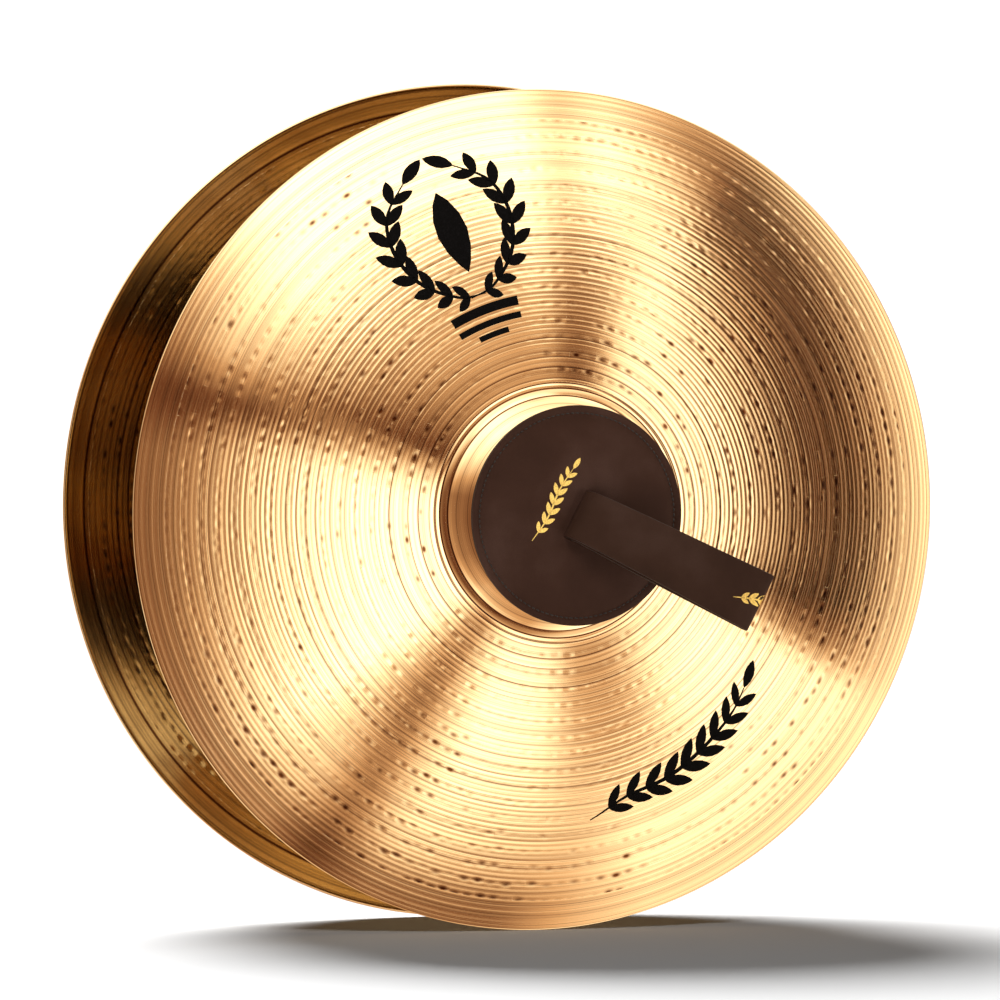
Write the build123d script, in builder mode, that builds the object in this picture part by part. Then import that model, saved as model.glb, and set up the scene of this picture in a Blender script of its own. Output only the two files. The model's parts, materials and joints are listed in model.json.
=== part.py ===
from build123d import *
import os
from math import cos, radians, sin, sqrt

# A pair of hand cymbals, held facing each other by their leather straps.
# Millimetres, +Z up. The cymbals' common axis runs along Y: the front cymbal
# turns its bell to -Y, the rear cymbal turns its bell to +Y. The origin is on
# that axis, midway between the two plates.

# ---------------------------------------------------------------- the pair
rim_gap = 139.0  # between the two rim planes

# ---------------------------------------------------------------- the bronze plate
cymbal_diameter = 508.0
plate_thickness = 1.3
bow_height = 46.0  # rim plane to the foot of the bell
bow_sagitta = 5.0  # bulge of the bow beyond a plain cone
bell_diameter = 148.0
bell_height = 25.0
bell_foot_radius = 12.0  # the hollow curve where bell and bow meet
strap_hole_diameter = 15.0
rim_round = 0.4

# ---------------------------------------------------------------- the leather pad
pad_diameter = 132.5
pad_leather = 1.8
pad_flange = 6.0  # flat sewn edge outside the filling
pad_crown = 7.5  # seam plane to the top of the cover
pad_belly = 8.5  # seam plane to the underside of the backing, at the middle
pad_shoulder = 22.0  # width of the crown's rounded shoulder
pad_seat_diameter = 72.0  # the part of the backing that follows the bell
filling_clearance = 0.4
pad_clearance = 0.3  # backing to bell

# ---------------------------------------------------------------- its stitches
stitch_count = 124
stitch_length = 2.2
stitch_width = 0.8
stitch_height = 0.5
stitch_inset = 4.7  # from the pad's edge

# ---------------------------------------------------------------- the leather strap
strap_thickness = 3.0
strap_neck_width = 31.0
strap_fold_width = 37.0
strap_length = 118.0  # crease to fold
strap_gap = 11.0  # room for the fingers between the two legs
strap_belly_at = 34.0  # where the legs stand furthest apart, from the crease
strap_fold_radius = 4.6  # outside of the fold
strap_turn = 28.0  # degrees that the slit leans from the vertical
strap_lift = 20.0  # degrees that the strap stands off the pad
neck_height = 8.0  # crease above the pad's crown
leg_gap = 0.4  # between the two legs inside the pad
slot_clearance = 0.4  # strap to pad
crease_clearance = 0.3  # grip to neck

# ---------------------------------------------------------------- its tails and knot
tail_width = 5.2
tail_gap = 0.4
tail_taper = 12.0  # height over which a leg narrows to its tails
knot_size = 28.0
knot_thickness = 12.0
knot_round = 4.0
knot_end_length = 15.0  # loose ends beyond the knot
knot_end_width = 9.0
knot_clearance = 0.3

# ---------------------------------------------------------------- worked out from them
cymbal_radius = cymbal_diameter / 2
bell_radius = bell_diameter / 2
hole_radius = strap_hole_diameter / 2
bell_top = bow_height + bell_height
dome_radius = (bell_radius**2 + bell_height**2) / (2 * bell_height)

pad_radius = pad_diameter / 2
pad_seat_radius = pad_seat_diameter / 2
flange_radius = pad_radius - pad_flange
crown_radius = flange_radius - pad_shoulder
seam_height = bell_top + pad_clearance + pad_belly
pad_top = seam_height + pad_crown
backing_dome_radius = dome_radius + pad_clearance

crease_height = pad_top + neck_height
root_radius = strap_thickness + leg_gap / 2
leg_reach = strap_gap / 2 + strap_thickness
fold_start = strap_length - strap_fold_radius
slot_width = strap_neck_width + 2 * slot_clearance
slot_depth = 2 * strap_thickness + leg_gap + 2 * slot_clearance

neck_top = crease_height - root_radius - crease_clearance
taper_foot = bell_top + pad_clearance
taper_top = taper_foot + tail_taper
split_top = taper_foot + tail_taper / 2
tail_outside = tail_gap / 2 + tail_width
knot_corner_radius = knot_size / sqrt(2)


def dome_drop(radius, sphere_radius):
    """How far a dome falls below its top at this radius."""
    return sphere_radius - sqrt(sphere_radius**2 - radius**2)


inner_dome_radius = dome_radius - plate_thickness
knot_top = bell_top - plate_thickness - knot_clearance - dome_drop(knot_corner_radius, inner_dome_radius)

# Each seat lies in a rim plane: its z points outwards through the bell, its y up.
seats = {
    "front": Plane(origin=(0, -rim_gap / 2, 0), x_dir=(1, 0, 0), z_dir=(0, -1, 0)),
    "rear": Plane(origin=(0, rim_gap / 2, 0), x_dir=(-1, 0, 0), z_dir=(0, 1, 0)),
}


def radial_plane(seat):
    """Half section of a round piece: x is the radius, y the height above the rim plane."""
    return Plane(origin=seat.origin, x_dir=seat.x_dir, z_dir=-seat.y_dir)


def strap_plane(seat, height):
    """Parallel to the rim plane, turned with the strap: x along the strap, y along the slit."""
    along = seat.x_dir.rotate(Axis((0, 0, 0), seat.z_dir), -strap_turn)
    return Plane(origin=seat.offset(height).origin, x_dir=along, z_dir=seat.z_dir)


def slit_plane(seat, distance):
    """Stands on the slit: x along the slit, y the height, at a distance from its middle."""
    turned = strap_plane(seat, 0)
    return Plane(origin=turned.origin, x_dir=turned.y_dir, z_dir=turned.x_dir).offset(distance)


def loop_plane(seat):
    """Side view of the strap loop: x from the crease to the fold, y away from the pad."""
    crease = strap_plane(seat, crease_height)
    along = crease.x_dir * cos(radians(strap_lift)) + crease.z_dir * sin(radians(strap_lift))
    return Plane(origin=crease.origin, x_dir=along, z_dir=-crease.y_dir)


def cover_outline():
    """Outside of the pad's cover, from the axis to the edge."""
    crown = Line((0, pad_top), (crown_radius, pad_top))
    shoulder = TangentArc(crown @ 1, (flange_radius, seam_height + pad_leather), tangent=(1, 0))
    Line(shoulder @ 1, (pad_radius, seam_height + pad_leather))


def backing_outline():
    """Outside of the pad's backing, from the axis to the edge: it follows the bell, then rises."""
    middle = (0, seam_height - pad_belly)
    seat_edge = (pad_seat_radius, seam_height - pad_belly - dome_drop(pad_seat_radius, backing_dome_radius))
    dome = RadiusArc(middle, seat_edge, backing_dome_radius)
    belly = TangentArc(dome @ 1, (flange_radius, seam_height - pad_leather), tangent=dome % 1)
    Line(belly @ 1, (pad_radius, seam_height - pad_leather))


os.makedirs("parts", exist_ok=True)

for side, seat in seats.items():
    axis = Axis(seat.origin, seat.z_dir)
    section = radial_plane(seat)

    # ------------------------------------------------------------ bronze plate
    with BuildPart() as cymbal:
        with BuildSketch(section):
            with BuildLine():
                dome = RadiusArc(
                    (hole_radius, bell_top - dome_drop(hole_radius, dome_radius)),
                    (bell_radius, bow_height),
                    dome_radius,
                )
                SagittaArc(dome @ 1, (cymbal_radius, plate_thickness), bow_sagitta)
                fillet(vertices().sort_by_distance((bell_radius, bow_height))[0], bell_foot_radius)
                offset(amount=plate_thickness, side=Side.RIGHT)
            make_face()
            fillet(vertices().sort_by(Axis.X)[-2:], rim_round)
        revolve(axis=axis)
    cymbal.part.label = f"{side}_cymbal"
    export_step(cymbal.part, f"parts/{side}_cymbal.step")

    # ------------------------------------------------------------ leather pad
    with BuildPart() as pad_cover:
        with BuildSketch(section):
            with BuildLine():
                cover_outline()
                offset(amount=pad_leather, side=Side.RIGHT)
            make_face()
        revolve(axis=axis)
        with BuildSketch(strap_plane(seat, pad_top)):
            Rectangle(slot_depth, slot_width)
        extrude(amount=-(pad_crown + pad_belly), mode=Mode.SUBTRACT)
    pad_cover.part.label = f"{side}_pad_cover"
    export_step(pad_cover.part, f"parts/{side}_pad_cover.step")

    with BuildPart() as pad_backing:
        with BuildSketch(section):
            with BuildLine():
                backing_outline()
                offset(amount=pad_leather, side=Side.LEFT)
            make_face()
        revolve(axis=axis)
        with BuildSketch(strap_plane(seat, pad_top)):
            Rectangle(slot_depth, slot_width)
        extrude(amount=-(pad_top - bow_height), mode=Mode.SUBTRACT)
    pad_backing.part.label = f"{side}_pad_backing"
    export_step(pad_backing.part, f"parts/{side}_pad_backing.step")

    with BuildPart() as pad_filling:
        with BuildSketch(section):
            with BuildLine():
                cover_outline()
                backing_outline()
                Line((0, seam_height - pad_belly), (0, pad_top))
                Line((pad_radius, seam_height - pad_leather), (pad_radius, seam_height + pad_leather))
            make_face()
            offset(amount=-(pad_leather + filling_clearance), mode=Mode.REPLACE)
        revolve(axis=axis)
        with BuildSketch(strap_plane(seat, pad_top)):
            Rectangle(slot_depth, slot_width)
        extrude(amount=-(pad_top - bow_height), mode=Mode.SUBTRACT)
    pad_filling.part.label = f"{side}_pad_filling"
    export_step(pad_filling.part, f"parts/{side}_pad_filling.step")

    # ------------------------------------------------------------ lock stitches, both faces
    with BuildPart() as pad_stitching:
        for face_height, rise in (
            (seam_height + pad_leather, stitch_height),
            (seam_height - pad_leather, -stitch_height),
        ):
            with BuildSketch(seat.offset(face_height)):
                with PolarLocations(pad_radius - stitch_inset, stitch_count):
                    SlotOverall(stitch_length, stitch_width, rotation=90)
            extrude(amount=rise)
    pad_stitching.part.label = f"{side}_pad_stitching"
    export_step(pad_stitching.part, f"parts/{side}_pad_stitching.step")

    # ------------------------------------------------------------ strap: the loop for the hand
    loop = loop_plane(seat)
    with BuildPart() as strap_grip:
        with BuildSketch(loop):
            with BuildLine():
                belly = (strap_belly_at, leg_reach)
                rise = TangentArc(belly, (0, root_radius), tangent=(-1, 0))
                reach = TangentArc(belly, (fold_start, strap_fold_radius), tangent=(1, 0))
                mirror(rise, about=Plane.XZ)
                mirror(reach, about=Plane.XZ)
                ThreePointArc((0, root_radius), (-root_radius, 0), (0, -root_radius))
                ThreePointArc(
                    (fold_start, strap_fold_radius),
                    (strap_length, 0),
                    (fold_start, -strap_fold_radius),
                )
            make_face()
            offset(amount=-strap_thickness, mode=Mode.SUBTRACT)
        extrude(amount=strap_fold_width / 2, both=True)
        with BuildSketch(Plane(origin=loop.origin, x_dir=loop.x_dir, z_dir=loop.y_dir)):
            with BuildLine():
                Polyline(
                    (-root_radius, strap_neck_width / 2),
                    (strap_length, strap_fold_width / 2),
                    (strap_length, -strap_fold_width / 2),
                    (-root_radius, -strap_neck_width / 2),
                    close=True,
                )
            make_face()
        extrude(amount=leg_reach, both=True, mode=Mode.INTERSECT)
    strap_grip.part.label = f"{side}_strap_grip"
    export_step(strap_grip.part, f"parts/{side}_strap_grip.step")

    # ------------------------------------------------------------ strap: neck and four tails
    with BuildPart() as strap_tails:
        for distance in (leg_gap / 2, -leg_gap / 2 - strap_thickness):
            with BuildSketch(slit_plane(seat, distance)):
                with BuildLine():
                    half = Polyline(
                        (0, neck_top),
                        (strap_neck_width / 2, neck_top),
                        (strap_neck_width / 2, taper_top),
                        (tail_outside, taper_foot),
                        (tail_outside, knot_top),
                        (tail_gap / 2, knot_top),
                        (tail_gap / 2, split_top),
                        (0, split_top),
                    )
                    mirror(half, about=Plane.YZ)
                make_face()
            extrude(amount=strap_thickness)
    strap_tails.part.label = f"{side}_strap_tails"
    export_step(strap_tails.part, f"parts/{side}_strap_tails.step")

    # ------------------------------------------------------------ strap: crown knot inside the bell
    with BuildPart() as strap_knot:
        with BuildSketch(strap_plane(seat, knot_top)):
            RectangleRounded(knot_size, knot_size, knot_round)
        extrude(amount=-knot_thickness)
        fillet(strap_knot.edges().group_by(axis)[0], knot_round)
        with BuildSketch(strap_plane(seat, knot_top - knot_thickness / 2)):
            with PolarLocations(knot_size / 2 + knot_end_length / 2 - knot_round, 4):
                Rectangle(knot_end_length + 2 * knot_round, knot_end_width)
        extrude(amount=strap_thickness / 2, both=True)
    strap_knot.part.label = f"{side}_strap_knot"
    export_step(strap_knot.part, f"parts/{side}_strap_knot.step")
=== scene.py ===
import json
from math import atan2, cos, hypot, pi, radians, sin, sqrt

import bmesh
import bpy
import numpy as np
from bpy.props import FloatProperty, FloatVectorProperty, IntProperty, PointerProperty
from bpy.types import Operator, Panel, PropertyGroup
from mathutils import Matrix, Vector


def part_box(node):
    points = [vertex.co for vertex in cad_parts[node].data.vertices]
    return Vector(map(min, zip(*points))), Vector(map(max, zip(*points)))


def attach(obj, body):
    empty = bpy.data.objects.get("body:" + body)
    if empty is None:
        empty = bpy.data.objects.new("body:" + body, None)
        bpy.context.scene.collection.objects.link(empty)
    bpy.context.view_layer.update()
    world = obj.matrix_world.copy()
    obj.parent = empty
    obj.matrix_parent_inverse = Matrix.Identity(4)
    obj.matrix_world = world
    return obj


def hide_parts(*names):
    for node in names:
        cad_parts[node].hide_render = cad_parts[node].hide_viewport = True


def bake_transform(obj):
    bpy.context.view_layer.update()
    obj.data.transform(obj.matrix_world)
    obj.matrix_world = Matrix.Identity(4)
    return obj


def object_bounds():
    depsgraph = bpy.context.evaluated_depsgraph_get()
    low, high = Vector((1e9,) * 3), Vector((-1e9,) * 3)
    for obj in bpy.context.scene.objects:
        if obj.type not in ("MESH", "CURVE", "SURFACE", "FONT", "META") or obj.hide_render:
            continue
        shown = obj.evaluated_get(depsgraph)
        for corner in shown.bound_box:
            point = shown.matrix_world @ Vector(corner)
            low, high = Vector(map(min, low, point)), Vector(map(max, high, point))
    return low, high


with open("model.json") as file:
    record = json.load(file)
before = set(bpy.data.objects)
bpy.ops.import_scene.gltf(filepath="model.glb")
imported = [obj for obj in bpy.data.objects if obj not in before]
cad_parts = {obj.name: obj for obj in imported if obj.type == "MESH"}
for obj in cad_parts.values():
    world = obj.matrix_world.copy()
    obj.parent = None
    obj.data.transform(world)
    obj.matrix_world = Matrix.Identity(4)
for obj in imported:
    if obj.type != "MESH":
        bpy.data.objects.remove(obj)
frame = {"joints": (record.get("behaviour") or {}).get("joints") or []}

bl_info = {
    "name": "Hand Cymbals",
    "version": (1, 0, 0),
    "blender": (4, 5, 0),
    "location": "View3D > Sidebar > Hand Cymbals",
    "description": "Builds the lathed bronze plates, leather pads and straps of a pair of hand cymbals",
    "category": "Object",
}

SIDES = ("front", "rear")
FRAME_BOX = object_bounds()

# ---------------------------------------------------------------------------- places from the frame


def joint(name):
    """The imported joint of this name."""
    return next(j for j in frame["joints"] if j["name"] == name)


def seat_matrix(side):
    """From seat coordinates (x across, y up, z out through the bell) to the row frame."""
    turn = joint(f"{side}_harness_turn")
    out = Vector(turn["axis"]).normalized()
    up = Vector((0.0, 0.0, 1.0))
    across = up.cross(out)
    matrix = Matrix((across, up, out)).transposed().to_4x4()
    matrix.translation = Vector(turn["pos_m"])
    return matrix


def strap_matrix(side):
    """From strap coordinates (x along the strap, y along the slit, z out) at the crease."""
    fold = joint(f"{side}_strap_fold")
    out = Vector(joint(f"{side}_harness_turn")["axis"]).normalized()
    slit = -Vector(fold["axis"]).normalized()
    along = slit.cross(out)
    matrix = Matrix((along, slit, out)).transposed().to_4x4()
    matrix.translation = Vector(fold["pos_m"])
    return matrix


def height_span(side, node):
    """Lowest and highest height of a node over its cymbal's rim plane."""
    low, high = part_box(node)
    origin = joint(f"{side}_harness_turn")["pos_m"][1]
    ends = sorted((abs(low[1] - origin), abs(high[1] - origin)))
    return ends[0], ends[1]


def node_radius(node):
    """Radius of a round node."""
    low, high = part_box(node)
    return (high[2] - low[2]) / 2


RIM_RADIUS = node_radius("front_cymbal")
PAD_RADIUS = node_radius("front_pad_cover")
SEAM_HEIGHT, PAD_TOP = height_span("front", "front_pad_cover")
KNOT_TOP = height_span("front", "front_strap_knot")[1]
ROUND_FROM = 0.030  # beyond this radius the rings of a pad's mesh are round
BELL_CROWN = 0.071  # the top of the bell as if it had no hole
CREASE_HEIGHT = abs(joint("front_strap_fold")["pos_m"][1] - joint("front_harness_turn")["pos_m"][1])

# ---------------------------------------------------------------------------- sizes and colours


class PlateSettings(PropertyGroup):
    """The bronze plates."""

    thickness: FloatProperty(
        name="Plate thickness", description="Thickness of the bronze", default=0.0013, unit="LENGTH"
    )
    bow_height: FloatProperty(
        name="Bow height", description="Rim plane to the foot of the bell", default=0.046, unit="LENGTH"
    )
    bow_sagitta: FloatProperty(
        name="Bow bulge", description="Bulge of the bow beyond a plain cone", default=0.005, unit="LENGTH"
    )
    bell_radius: FloatProperty(
        name="Bell radius", description="Radius of the bell at its foot", default=0.074, unit="LENGTH"
    )
    hole_radius: FloatProperty(
        name="Hole radius", description="Radius of the strap hole", default=0.0075, unit="LENGTH"
    )
    groove_pitch: FloatProperty(
        name="Groove pitch", description="Usual width of a lathe groove", default=0.0030, unit="LENGTH"
    )
    groove_depth: FloatProperty(
        name="Groove depth", description="Usual depth of a lathe groove", default=0.00008, unit="LENGTH"
    )
    dent_spacing: FloatProperty(
        name="Hammer spacing", description="Distance between rows of hammer marks",
        default=0.0100, unit="LENGTH"
    )
    dent_depth: FloatProperty(
        name="Hammer depth", description="Usual depth of a hammer mark", default=0.00006, unit="LENGTH"
    )
    gold: FloatVectorProperty(
        name="Gold", description="Colour of the cut bronze", subtype="COLOR", default=(0.98, 0.77, 0.46)
    )
    # partly the dark tone of residue in the tool marks, partly painted shade in the grooves and hammer marks
    copper_and_shade: FloatVectorProperty(
        name="Copper", description="Colour of the bronze in the tool marks",
        subtype="COLOR", default=(0.13, 0.042, 0.012)
    )
    ink: FloatVectorProperty(
        name="Ink", description="Colour of the printed ornament",
        subtype="COLOR", default=(0.004, 0.0035, 0.0035)
    )


class PadSettings(PropertyGroup):
    """The stitched leather pads."""

    leather: FloatProperty(
        name="Leather thickness", description="Thickness of each leather disc",
        default=0.0018, unit="LENGTH"
    )
    flange: FloatProperty(
        name="Flange width", description="Flat sewn edge outside the filling", default=0.006, unit="LENGTH"
    )
    shoulder: FloatProperty(
        name="Shoulder width", description="Width of the crown's rounded shoulder",
        default=0.022, unit="LENGTH"
    )
    seat_radius: FloatProperty(
        name="Seat radius", description="Part of the backing that follows the bell",
        default=0.036, unit="LENGTH"
    )
    clearance: FloatProperty(
        name="Clearance", description="Gap between backing and bell", default=0.0003, unit="LENGTH"
    )
    stitch_inset: FloatProperty(
        name="Stitch inset", description="Stitch line to the pad's edge", default=0.0047, unit="LENGTH"
    )
    stitch_count: IntProperty(name="Stitches", description="Stitches round the pad", default=124, min=12)
    slot_length: FloatProperty(
        name="Slot length", description="Length of the slit for the strap", default=0.0318, unit="LENGTH"
    )
    slot_width: FloatProperty(
        name="Slot width", description="Width of the slit for the strap", default=0.0072, unit="LENGTH"
    )
    colour: FloatVectorProperty(
        name="Leather", description="Colour of the pad's leather",
        subtype="COLOR", default=(0.073, 0.033, 0.0215)
    )
    thread: FloatVectorProperty(
        name="Thread", description="Colour of the waxed thread",
        subtype="COLOR", default=(0.008, 0.006, 0.006)
    )
    felt: FloatVectorProperty(
        name="Felt", description="Colour of the filling", subtype="COLOR", default=(0.55, 0.50, 0.42)
    )
    foil: FloatVectorProperty(
        name="Foil", description="Colour of the gold foil ornament",
        subtype="COLOR", default=(0.95, 0.70, 0.20)
    )


class StrapSettings(PropertyGroup):
    """The leather straps."""

    thickness: FloatProperty(
        name="Strap thickness", description="Thickness of the strap's leather",
        default=0.0030, unit="LENGTH"
    )
    neck_width: FloatProperty(
        name="Neck width", description="Width of the strap at the slit", default=0.031, unit="LENGTH"
    )
    fold_width: FloatProperty(
        name="Fold width", description="Width of the strap at its fold", default=0.037, unit="LENGTH"
    )
    length: FloatProperty(
        name="Loop length", description="Crease to fold", default=0.118, unit="LENGTH"
    )
    lift: FloatProperty(
        name="Lift", description="How far the strap stands off the pad",
        default=radians(20), subtype="ANGLE"
    )
    spread: FloatProperty(
        name="Spread", description="Middle of the loop to the middle of a leg",
        default=0.0070, unit="LENGTH"
    )
    tail_width: FloatProperty(
        name="Tail width", description="Width of a tail where it passes the plate",
        default=0.0052, unit="LENGTH"
    )
    knot_strand: FloatProperty(
        name="Knot strand", description="Width of a tail where it is knotted", default=0.0095, unit="LENGTH"
    )
    colour: FloatVectorProperty(
        name="Leather", description="Colour of the strap's leather",
        subtype="COLOR", default=(0.065, 0.031, 0.020)
    )


class StageSettings(PropertyGroup):
    """Floor, light and camera."""

    azimuth: FloatProperty(
        name="Azimuth", description="Camera's turn round the cymbals",
        default=radians(-18.55), subtype="ANGLE"
    )
    elevation: FloatProperty(
        name="Elevation", description="Camera's height over the horizon",
        default=radians(2.5), subtype="ANGLE"
    )
    distance: FloatProperty(
        name="Distance", description="Camera to the middle of the pair", default=12.0, unit="LENGTH"
    )
    field: FloatProperty(
        name="Field", description="Width of the view at the pair", default=0.6067, unit="LENGTH"
    )
    floor: FloatVectorProperty(
        name="Floor", description="Colour of the floor", subtype="COLOR", default=(0.96, 0.96, 0.96)
    )
    ambient: FloatProperty(name="Room light", description="Strength of the plain room", default=0.02)
    mirrored: FloatProperty(
        name="Soft boxes", description="Strength of what the metal mirrors", default=2.5
    )
    overhead: FloatProperty(
        name="Overhead light", description="Strength of the wide overhead light", default=6.0
    )
    key: FloatProperty(
        name="Key light", description="Power of the lamp above the camera", default=13.0, unit="POWER"
    )


# ---------------------------------------------------------------------------- mesh helpers


def add_mesh(name, points, faces, matrix, material, smooth=True):
    """A new object from points in local metres, carried into the row frame by the matrix."""
    mesh = bpy.data.meshes.new(name)
    flat = np.asarray(points, dtype=np.float64)
    placed = flat @ np.array(matrix.to_3x3()).T + np.array(matrix.translation)
    mesh.from_pydata(placed.tolist(), [], faces)
    mesh.materials.append(material)
    mesh.polygons.foreach_set("use_smooth", [smooth] * len(mesh.polygons))
    mesh.validate()
    mesh.update()
    piece = bpy.data.objects.new(name, mesh)
    bpy.context.scene.collection.objects.link(piece)
    make_normals_consistent(piece)
    return piece


def make_normals_consistent(piece):
    """Turns all faces outwards."""
    edit = bmesh.new()
    edit.from_mesh(piece.data)
    bmesh.ops.recalc_face_normals(edit, faces=edit.faces)
    edit.to_mesh(piece.data)
    edit.free()
    piece.data.update()


def paint_faces(piece, material, chosen):
    """Gives the chosen faces of a piece a second material."""
    piece.data.materials.append(material)
    for face in piece.data.polygons:
        if chosen(face):
            face.material_index = len(piece.data.materials) - 1


def join_parts(parts):
    """One list of points and faces from several (points, faces) pairs."""
    points, faces = [], []
    for part_points, part_faces in parts:
        start = len(points)
        points.extend(part_points)
        faces.extend([tuple(start + i for i in face) for face in part_faces])
    return points, faces


def grid_faces(rows, columns, wrap_rows=False, wrap_columns=False):
    """Quads over a grid of rows x columns points."""
    row = np.arange(rows if wrap_rows else rows - 1)
    column = np.arange(columns if wrap_columns else columns - 1)
    i, j = np.meshgrid(row, column, indexing="ij")
    after_i, after_j = (i + 1) % rows, (j + 1) % columns
    corners = (i * columns + j, i * columns + after_j, after_i * columns + after_j, after_i * columns + j)
    return np.stack([c.ravel() for c in corners], axis=1).tolist()


def smooth_path(points, count):
    """A smooth line of count points through the given ones, evenly spaced along its length."""
    given = np.array(points, dtype=float)
    ends = np.vstack([2 * given[0] - given[1], given, 2 * given[-1] - given[-2]])
    steps = np.linspace(0.0, 1.0, 24, endpoint=False)[:, None]
    fine = []
    for before, start, stop, after in zip(ends, ends[1:], ends[2:], ends[3:]):
        fine.append(
            0.5
            * (
                2 * start
                + (stop - before) * steps
                + (2 * before - 5 * start + 4 * stop - after) * steps**2
                + (3 * start - before - 3 * stop + after) * steps**3
            )
        )
    fine = np.vstack(fine + [given[-1:]])
    travelled = np.concatenate([[0.0], np.cumsum(np.linalg.norm(np.diff(fine, axis=0), axis=1))])
    wanted = np.linspace(0.0, travelled[-1], count)
    return np.stack([np.interp(wanted, travelled, fine[:, k]) for k in range(given.shape[1])], axis=1)


def band_section(width, thickness, across, edge, corner=3):
    """Outline of a leather band with rounded edges: (sideways, up) points, counter-clockwise."""
    half, rise = width / 2, thickness / 2
    inside, below = half - edge, rise - edge
    outline = []
    for side in (1, -1):
        flat = np.linspace(side * inside, -side * inside, across)
        outline.extend([(x, side * rise) for x in flat])
        for k in range(1, corner + 1):
            turn = pi / 2 * k / (corner + 1)
            outline.append((-side * (inside + edge * sin(turn)), side * (below + edge * cos(turn))))
        for k in range(1, corner + 1):
            turn = pi / 2 * k / (corner + 1)
            outline.append((-side * (inside + edge * cos(turn)), -side * (below + edge * sin(turn))))
    return outline


def band(path, sideways, widths, thickness, across=8, edge=0.0008):
    """A closed leather band along a 3D path; sideways gives the width's direction at each point."""
    path, sideways = np.asarray(path), np.asarray(sideways)
    forward = np.gradient(path, axis=0)
    forward /= np.linalg.norm(forward, axis=1)[:, None]
    sideways = sideways - forward * np.sum(sideways * forward, axis=1)[:, None]
    sideways /= np.linalg.norm(sideways, axis=1)[:, None]
    up = np.cross(forward, sideways)
    thicknesses = np.broadcast_to(thickness, len(path))
    rows = []
    for point, side, rise, width, thick in zip(path, sideways, up, widths, thicknesses):
        rows.extend([point + side * x + rise * z for x, z in band_section(width, thick, across, edge)])
    count = len(band_section(widths[0], thicknesses[0], across, edge))
    faces = grid_faces(len(path), count, wrap_columns=True)
    faces.append(list(range(count))[::-1])
    faces.append([(len(path) - 1) * count + k for k in range(count)])
    return [tuple(p) for p in rows], faces


def ribbed_solid(ribs, lift, thickness, surface):
    """A thin closed solid laid on a surface: each rib is a pair of flat points across its length."""
    low = [surface(*point, lift) for rib in ribs for point in rib]
    high = [surface(*point, lift + thickness) for rib in ribs for point in rib]
    count = 2 * len(ribs)
    faces = [(0, 1, count + 1, count), (count - 2, 2 * count - 2, 2 * count - 1, count - 1)]
    for k in range(0, count - 2, 2):
        faces.append((k, k + 2, k + 3, k + 1))
        faces.append((count + k, count + k + 1, count + k + 3, count + k + 2))
        faces.append((k, count + k, count + k + 2, k + 2))
        faces.append((k + 1, k + 3, count + k + 3, count + k + 1))
    return low + high, faces


def leaf(centre, heading, length, width):
    """Ribs of a pointed leaf."""
    ribs = []
    forward = Vector((cos(heading), sin(heading)))
    aside = Vector((-forward.y, forward.x))
    for t in (0.0, 0.12, 0.3, 0.5, 0.7, 0.88, 1.0):
        half = width / 2 * (sin(pi * t) ** 0.8 + 0.02)
        middle = Vector(centre) + forward * (t * length)
        ribs.append((tuple(middle + aside * half), tuple(middle - aside * half)))
    return ribs


def vine(points, width):
    """Ribs of a slender stem along the given points, thinner towards its ends."""
    line = smooth_path(points, 26)
    direction = np.gradient(line, axis=0)
    direction /= np.linalg.norm(direction, axis=1)[:, None]
    ribs = []
    for k, (point, ahead) in enumerate(zip(line, direction)):
        half = width / 2 * (0.25 + 0.75 * sin(pi * k / (len(line) - 1)))
        aside = np.array((-ahead[1], ahead[0])) * half
        ribs.append((tuple(point + aside), tuple(point - aside)))
    return ribs


def sprig(points, leaf_length, leaf_width, stem_width, pairs):
    """A sprig: a curved stem with pairs of leaves, as a list of rib sets."""
    line = smooth_path(points, pairs + 2)
    direction = np.gradient(line, axis=0)
    shapes = [vine(points, stem_width)]
    for k in range(1, pairs + 1):
        heading = atan2(direction[k][1], direction[k][0])
        size = 0.75 + 0.25 * sin(pi * k / (pairs + 1))
        for side in (1, -1):
            shapes.append(leaf(line[k], heading + side * radians(34), leaf_length * size, leaf_width * size))
    tip = direction[-1]
    shapes.append(leaf(line[-1], atan2(tip[1], tip[0]), leaf_length, leaf_width))
    return shapes


# ---------------------------------------------------------------------------- material helpers


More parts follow.
